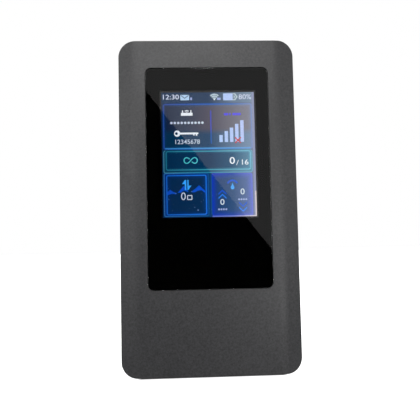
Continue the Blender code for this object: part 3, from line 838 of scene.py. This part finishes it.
def display():
    """The whole lit picture, from the dark ground up to the light at its right side."""
    show("picture", [area(0, 0, 240, 320)], "navy", 0)
    status_bar()
    network_panel()
    link_panel()
    traffic_panel()
    speed_panel()
    show("edge_wash", [area(233.6, 0, 240, 320)], "wash", 3)
    # Painted reflection in the lens: a warm white patch along the lower edge and the lower right side
    show("corner_glare", [area(126, 317, 240, 320), area(236.8, 255, 240, 316.8)], "glare", 4)


# ---------------------------------------------------------------- colours of the lit picture

# Each colour in even steps from left to right: the picture washes out towards its right side
PICTURE = {
    "navy": ((0.002, 0.020, 0.070), (0.004, 0.045, 0.150), (0.20, 0.24, 0.34)),
    "slate": ((0.004, 0.030, 0.085), (0.008, 0.035, 0.095), (0.22, 0.31, 0.42)),
    "white": ((0.80, 0.85, 0.92), (0.90, 0.95, 1.00)),
    "clock": ((0.66, 0.72, 0.90), (0.78, 0.84, 0.96), (0.64, 0.70, 0.88)),
    "pearl": ((0.45, 0.50, 0.70), (0.62, 0.72, 0.80), (0.70, 0.80, 0.86)),
    "ice": ((0.48, 0.66, 0.80), (0.42, 0.62, 0.95), (0.55, 0.62, 0.98)),
    "frost": ((0.46, 0.58, 0.68), (0.50, 0.62, 0.70), (0.60, 0.72, 0.76)),
    "lilac": ((0.24, 0.30, 0.62), (0.34, 0.42, 0.72), (0.40, 0.50, 0.80)),
    "indigo": ((0.06, 0.05, 0.60), (0.08, 0.07, 0.72), (0.14, 0.12, 0.85)),
    "blue": ((0.012, 0.055, 0.30), (0.012, 0.080, 0.38), (0.012, 0.105, 0.48), (0.05, 0.17, 0.52),
             (0.24, 0.32, 0.58)),
    "foot_blue": ((0.020, 0.170, 0.48), (0.060, 0.300, 0.66), (0.17, 0.40, 0.76)),
    "dim_blue": ((0.022, 0.130, 0.38), (0.006, 0.085, 0.26), (0.10, 0.20, 0.45)),
    "sky_blue": ((0.006, 0.110, 0.52), (0.012, 0.180, 0.80), (0.05, 0.26, 0.90)),
    "royal": ((0.010, 0.060, 0.55), (0.008, 0.075, 0.60), (0.03, 0.14, 0.72)),
    "cyan": ((0.02, 0.30, 0.95), (0.05, 0.42, 1.00), (0.10, 0.40, 0.95)),
    "hill": ((0.002, 0.060, 0.48), (0.004, 0.085, 0.66), (0.01, 0.10, 0.70)),
    "speck": ((0.06, 0.16, 0.40), (0.20, 0.26, 0.42)),
    "teal": ((0.010, 0.15, 0.24), (0.035, 0.34, 0.46), (0.24, 0.58, 0.74)),
    "dim_teal": ((0.040, 0.20, 0.30), (0.02, 0.26, 0.42), (0.20, 0.46, 0.62)),
    # Painted reflection, warming to white at the right end
    "glare": ((0.02, 0.06, 0.45), (0.04, 0.10, 0.50), (0.10, 0.16, 0.60), (0.20, 0.26, 0.70),
              (0.74, 0.66, 0.66)),
    "gap": ((0.003, 0.040, 0.085), (0.008, 0.075, 0.15), (0.14, 0.34, 0.46)),
    "green": ((0.03, 0.42, 0.44), (0.10, 0.60, 0.70), (0.20, 0.70, 0.80)),
    "red": ((0.55, 0.04, 0.05), (0.62, 0.06, 0.07)),
}


def lit_looks():
    """The lit picture's materials: the plain ones above, and the panels, which glow at their sides."""
    looks = {name: lit_layer(name, colours) for name, colours in PICTURE.items()}
    # The network panel's upper set is a painted reflection over the upper part of the picture
    looks["network"] = lit_layer(
        "network", ((0.001, 0.022, 0.060), (0.002, 0.045, 0.120), (0.22, 0.32, 0.46)),
        upper=((0.0, 0.009, 0.040), (0.022, 0.036, 0.076), (0.070, 0.064, 0.098), (0.16, 0.155, 0.19),
               (0.26, 0.26, 0.315)),
        glow=(((0.002, 0.035, 0.15), (0.01, 0.09, 0.24), (0.26, 0.32, 0.52)), NETWORK_BOX, 12))
    looks["link"] = lit_layer(
        "link", ((0.0, 0.018, 0.062), (0.002, 0.029, 0.083), (0.0, 0.032, 0.095), (0.022, 0.092, 0.185),
                 (0.14, 0.31, 0.44)),
        glow=(((0.001, 0.050, 0.105), (0.008, 0.125, 0.225), (0.14, 0.42, 0.58)), LINK_BOX, 9))
    looks["traffic"] = lit_layer(
        "traffic", ((0.001, 0.018, 0.066), (0.005, 0.034, 0.100)),
        glow=(((0.001, 0.025, 0.17), (0.004, 0.060, 0.29)), TRAFFIC_BOX, 16))
    looks["speed"] = lit_layer(
        "speed", ((0.002, 0.045, 0.17), (0.002, 0.040, 0.16), (0.003, 0.034, 0.155), (0.036, 0.090, 0.21),
                  (0.150, 0.220, 0.45)),
        glow=(((0.003, 0.035, 0.60), (0.003, 0.035, 0.58), (0.003, 0.035, 0.55), (0.02, 0.07, 0.48),
               (0.20, 0.24, 0.82)), SPEED_BOX, 20))
    # The divider's upper set is the same painted reflection
    looks["divider"] = lit_layer("divider", ((0.004, 0.10, 0.42),), upper=((0.05, 0.07, 0.50),))
    looks["wash"] = lit_layer("wash", ((0.0, 0.0, 0.0), (0.2, 0.2, 0.3), (0.29, 0.32, 0.48)))
    return looks


# ---------------------------------------------------------------- keys, card tray and port

def key(name, node_name, look):
    """A key's crowned cap, with the flange that holds it behind the wall."""
    low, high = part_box(node_name)
    z = middle_z(node_name)
    cap = block(name, (low.x, ROW_Y - KEY_HALF_DEPTH, z - KEY_HALF),
                (high.x, ROW_Y + KEY_HALF_DEPTH, z + KEY_HALF), 0.55 * MM, "X", 6)
    round_edges(cap, 0.25 * MM, 4, 60)
    flange = block("flange", (high.x - 0.6 * MM, ROW_Y - MM, low.z), (high.x, ROW_Y + MM, high.z))
    combine(cap, "UNION", flange)
    settle(cap, flange)
    return adopt(cap, node_name, look, "key_plastic", node_name)


def card_tray(look):
    """The tray: its face in the wall, and the blade with a pocket that holds the card."""
    low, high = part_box("sim_tray")
    z = middle_z("sim_tray")
    face = block("tray_face", (high.x - 1.5 * MM, low.y, low.z), (high.x, high.y, high.z), 0.45 * MM, "X", 5)
    round_edges(face, 0.20 * MM, 3, 60)
    blade_half, pocket_half = 7.5 * MM, 6.3 * MM
    blade = block("blade", (low.x, ROW_Y - 0.35 * MM, z - blade_half),
                  (high.x - MM, ROW_Y + 0.35 * MM, z + blade_half), 0.3 * MM, "Y", 3)
    pocket = block("pocket", (15.4 * MM, ROW_Y - 0.1 * MM, z - pocket_half),
                   (28.1 * MM, ROW_Y + MM, z + pocket_half), 0.7 * MM, "Y", 4)
    hole = rod("hole", 0.45 * MM, (high.x - 1.2 * MM, ROW_Y, z - 7 * MM), (high.x + MM, ROW_Y, z - 7 * MM))
    combine(face, "UNION", blade)
    combine(face, "DIFFERENCE", pocket, hole)
    settle(face, blade, pocket, hole)
    return adopt(face, "sim_tray", look, "key_plastic", "sim_tray")


def charging_port(plate, resin, gold):
    """The socket's sleeve, its tongue and the contacts on both faces of the tongue."""
    low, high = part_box("usb_port_sleeve")
    half_y = (high.y - low.y) / 2
    nearly_round = 0.98
    sleeve = block("port_sleeve", low, high, half_y * nearly_round, "Z", 14)
    bore = block("bore", (low.x + PORT_WALL, low.y + PORT_WALL, high.z - PORT_DEPTH),
                 (high.x - PORT_WALL, high.y - PORT_WALL, high.z + MM),
                 (half_y - PORT_WALL) * nearly_round, "Z", 14)
    carve(sleeve, bore)
    adopt(sleeve, BODY, plate, "plated_metal", "usb_port_sleeve")
    low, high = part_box("usb_port_tongue")
    tongue = block("port_tongue", low, high, 0.2 * MM, "Z", 3)
    round_edges(tongue, 0.10 * MM, 2)
    settle(tongue)
    adopt(tongue, BODY, resin, "black_plastic", "usb_port_tongue")
    for side, y in (("front", low.y), ("rear", high.y)):
        for i in range(CONTACTS):
            x = (i - (CONTACTS - 1) / 2) * CONTACT_PITCH
            pad = block(f"port_contact_{side}_{i + 1}", (x - 0.13 * MM, y - 0.03 * MM, high.z - 3.4 * MM),
                        (x + 0.13 * MM, y + 0.03 * MM, high.z - 0.5 * MM), 0.05 * MM, "Y", 2)
            adopt(settle(pad), BODY, gold, "plated_metal")


# ---------------------------------------------------------------- the parts inside

def dress(looks):
    """A better material for each CAD part that keeps its own shape."""
    for look, names in looks:
        for name in names:
            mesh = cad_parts[name].data
            mesh.materials.clear()
            mesh.materials.append(look)


def battery_label(paper, ink):
    """A blank rating label on the cell, with a plain rule round it."""
    rear_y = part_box("battery_cell")[1].y
    y = rear_y + 0.04 * MM
    middle = middle_z("battery_cell")
    sheet = centred("battery_label", LABEL_SIZE, rear_y + 0.01 * MM, y, middle, radius=1.5 * MM)
    adopt(settle(sheet), BODY, paper, "battery_wrap")
    half_x, half_z = RULE_HALF
    rings = [rounded_outline(inset - half_x, inset - half_z, half_x - inset, half_z - inset, 1.2 * MM - inset)
             for inset in (0.0, RULE_WIDTH)]
    rule = flat_curve("battery_label_rule", rings, 0.02 * MM)
    rule.rotation_euler.x = math.radians(90)
    rule.location = (0.0, y + 0.02 * MM, middle)
    adopt(meshed(rule), BODY, ink, "battery_wrap")


# ---------------------------------------------------------------- studio

def pale_floor():
    """A white floor, lit from within, with a soft painted contact shadow where the front shell stands on it.
    """
    floor = block("floor", (-6.0, -6.0, -0.02), (6.0, 6.0, 0.0))
    look, tree, shader = new_material("floor_white")
    shade_of = noise(tree, object_place(tree), 6.0, 2.0)
    pale = ramp(tree, shade_of, [(0.3, (0.86, 0.86, 0.87)), (0.7, (0.88, 0.88, 0.89))])
    spot = node(tree, "ShaderNodeSeparateXYZ", {"Vector": object_place(tree)})
    # Painted contact shadow: a mask that darkens both the floor's colour and its glow along the front shell's
    # foot
    across = math_node(tree, "ABSOLUTE", spot.outputs["X"], 0.0)
    out_x = math_node(tree, "SUBTRACT", across, HALF_WIDTH - CORNER - PAINTED_SHADOW_INSET)
    depth = math_node(tree, "SUBTRACT", spot.outputs["Y"], (FRONT_Y + SEAM_Y) / 2)
    out_y = math_node(tree, "SUBTRACT", math_node(tree, "ABSOLUTE", depth, 0.0), (SEAM_Y - FRONT_Y) / 2)
    out = math_node(tree, "MAXIMUM", out_x, out_y)
    clear = spread(tree, out, 0.0, 1.0, *PAINTED_SHADOW_FADE)
    light = ramp(tree, clear, [(0.0, (0.0, 0.0, 0.0)), (1.0, (1.0, 1.0, 1.0))])
    both = node(tree, "ShaderNodeMix", {0: clear, 7: pale}, data_type="RGBA")
    both.inputs[6].default_value = (0.0, 0.0, 0.0, 1.0)
    tree.links.new(both.outputs[2], shader.inputs["Base Color"])
    tree.links.new(light, shader.inputs["Emission Color"])
    shader.inputs["Roughness"].default_value = 0.9
    shader.inputs["Emission Strength"].default_value = FLOOR_LIGHT
    floor.data.materials.append(look)
    floor.visible_glossy = False
    floor.visible_diffuse = False
    floor.visible_transmission = False


def background(tree, colour, strength):
    """An even light from all round."""
    made = node(tree, "ShaderNodeBackground")
    made.inputs["Color"].default_value = colour
    made.inputs["Strength"].default_value = strength
    return made.outputs[0]


def room():
    """A white sweep behind the object, in a room that is dim and leaves no mirror image."""
    world = bpy.data.worlds.new("studio")
    bpy.context.scene.world = world
    world.use_nodes = True
    tree = world.node_tree
    tree.nodes.clear()
    white, black = (1.0, 1.0, 1.0, 1.0), (0.0, 0.0, 0.0, 1.0)
    rays = node(tree, "ShaderNodeLightPath")
    dim, dark = background(tree, white, ROOM_LIGHT), background(tree, black, 0.0)
    sweep = background(tree, white, 1.0)
    seen = node(tree, "ShaderNodeMixShader", {"Fac": rays.outputs["Is Glossy Ray"], 1: dim, 2: dark})
    mix = node(tree, "ShaderNodeMixShader", {"Fac": rays.outputs["Is Camera Ray"], 1: seen.outputs[0],
                                             2: sweep})
    node(tree, "ShaderNodeOutputWorld", {"Surface": mix.outputs[0]})


def lamps():
    """The far lamps, the softboxes low on the right, and the card that the lens mirrors."""
    for name, side, height, width, strength in LAMPS:
        sun = bpy.data.lights.new(name, "SUN")
        sun.energy = strength
        sun.angle = math.radians(width)
        link(name, sun).rotation_euler = aim(side, height)

    for name, side, away, height, wide, tall, strength in SOFTBOXES:
        lamp = bpy.data.lights.new(name, "AREA")
        lamp.shape = "RECTANGLE"
        lamp.size, lamp.size_y = wide, tall
        lamp.energy = strength * math.pi * wide * tall
        box = link(name, lamp)
        turn = math.radians(side)
        box.location = (away * math.sin(turn), -away * math.cos(turn), height)
        box.rotation_euler = aim(side, 0)
        box.visible_camera = False

    card = bpy.data.lights.new("card", "AREA")
    card.shape = "RECTANGLE"
    card.size = card.size_y = CARD_SIZE
    card.energy = CARD_LIGHT * math.pi * CARD_SIZE**2
    placed = link("card", card)
    placed.matrix_world = card_place()
    placed.visible_camera = False


def aim(side, height):
    """The turn of a lamp that shines from an azimuth right of the front, and a height, in degrees."""
    a, e = math.radians(side), math.radians(height)
    back = Vector((math.sin(a) * math.cos(e), -math.cos(a) * math.cos(e), math.sin(e)))
    return back.to_track_quat("Z", "Y").to_euler()


def card_place():
    """A card behind the camera, whose lower left edge is what the lens mirrors as a slanting line."""
    y = CAMERA_PLACE.y - CARD_AWAY
    mirror = Vector((CAMERA_PLACE.x, 2 * FRONT_Y - CAMERA_PLACE.y, CAMERA_PLACE.z))
    edge = []
    for x, z in CARD_EDGE:
        way = Vector((x, FRONT_Y, z)) - mirror
        edge.append(mirror + way * ((y - mirror.y) / way.y))
    along = (edge[1] - edge[0]).normalized()
    facing = Vector((0.0, 1.0, 0.0))
    upward = facing.cross(along) * -1
    if upward.z < 0:
        upward = -upward
    centre = (edge[0] + edge[1]) / 2 + upward * CARD_SIZE / 2
    back = -facing
    right = upward.cross(back)
    turn = Matrix((right, upward, back)).transposed().to_4x4()
    return Matrix.Translation(centre) @ turn


def camera():
    """The photographing camera, and colours shown as they are."""
    data = bpy.data.cameras.new("camera")
    data.sensor_width = 36.0
    data.lens = CAMERA_LENS
    obj = link("camera", data)
    obj.location = CAMERA_PLACE
    obj.rotation_euler = [math.radians(turn) for turn in CAMERA_TURN]
    bpy.context.scene.camera = obj
    bpy.context.scene.view_settings.view_transform = "Standard"


# ---------------------------------------------------------------- making it

SHELL = plastic("shell_moulding", (0.034, 0.034, 0.036), 0.41)
COVER = plastic("cover_moulding", (0.033, 0.033, 0.035), 0.43)
KEYS = plastic("key_moulding", (0.040, 0.040, 0.043), 0.38, 0.2 * MM)
CHASSIS = plastic("chassis_moulding", (0.016, 0.016, 0.018), 0.5)
RESIN = smooth_part("black_resin", (0.012, 0.012, 0.012), 0.45)
INK = smooth_part("border_ink", (0.0010, 0.0010, 0.0010), 0.6, gloss=0.0)
TAPE = smooth_part("black_tape", (0.014, 0.014, 0.014), 0.75)
PLATE = metal("nickel_plate", (0.62, 0.62, 0.60), 0.32, (1.0, 1.0, 0.15))
STEEL = metal("bright_steel", (0.46, 0.46, 0.47), 0.30)
GOLD = metal("contact_gold", (0.83, 0.60, 0.25), 0.25)
COPPER = metal("bare_copper", (0.66, 0.32, 0.17), 0.35)
BOARD = smooth_part("green_board", (0.008, 0.085, 0.040), 0.35, 900.0)
FILM = smooth_part("amber_film", (0.42, 0.18, 0.03), 0.30)
WHITE = smooth_part("white_moulding", (0.62, 0.62, 0.60), 0.40)
WRAP = smooth_part("cell_wrap", (0.060, 0.075, 0.100), 0.38, 500.0)
PAPER = smooth_part("label_paper", (0.45, 0.46, 0.48), 0.50, 1800.0, 0.05)
RED = smooth_part("red_sleeve", (0.50, 0.015, 0.015), 0.40)
YELLOW = smooth_part("yellow_sleeve", (0.60, 0.40, 0.02), 0.40)
POLARISER = smooth_part("polariser", (0.006, 0.006, 0.008), 0.10)

camera()
pale_floor()
room()
lamps()
front_shell(SHELL)
rear_cover(COVER)
lens(lens_glass(), INK)
LIT = lit_looks()
display()
key("power_cap", "power_key", KEYS)
key("menu_cap", "menu_key", KEYS)
card_tray(KEYS)
charging_port(PLATE, RESIN, GOLD)
battery_label(PAPER, RESIN)
dress((
    (TAPE, ("lens_adhesive", "battery_tape")),
    (POLARISER, ("lcd_panel",)),
    (WHITE, ("lcd_backlight_tray", "sim_card", "battery_socket", "battery_plug")),
    (FILM, ("lcd_flex",)),
    (BOARD, ("main_board",)),
    (PLATE, ("modem_shield_can", "radio_shield_can", "power_shield_can", "sim_reader", "power_switch_case",
             "menu_switch_case", "reset_switch_case")),
    (RESIN, ("modem_chip", "radio_chip", "charger_chip", "power_switch_plunger", "menu_switch_plunger",
             "reset_switch_plunger", "battery_lead_black")),
    (STEEL, ("chassis_screw_1", "chassis_screw_2", "chassis_screw_3", "chassis_screw_4", "board_screw_1",
             "board_screw_2")),
    (CHASSIS, ("mid_chassis", "battery_guard_board")),
    (WRAP, ("battery_cell",)),
    (COPPER, ("main_antenna", "wifi_antenna", "diversity_antenna")),
    (RED, ("battery_lead_red",)),
    (YELLOW, ("battery_lead_yellow",)),
))
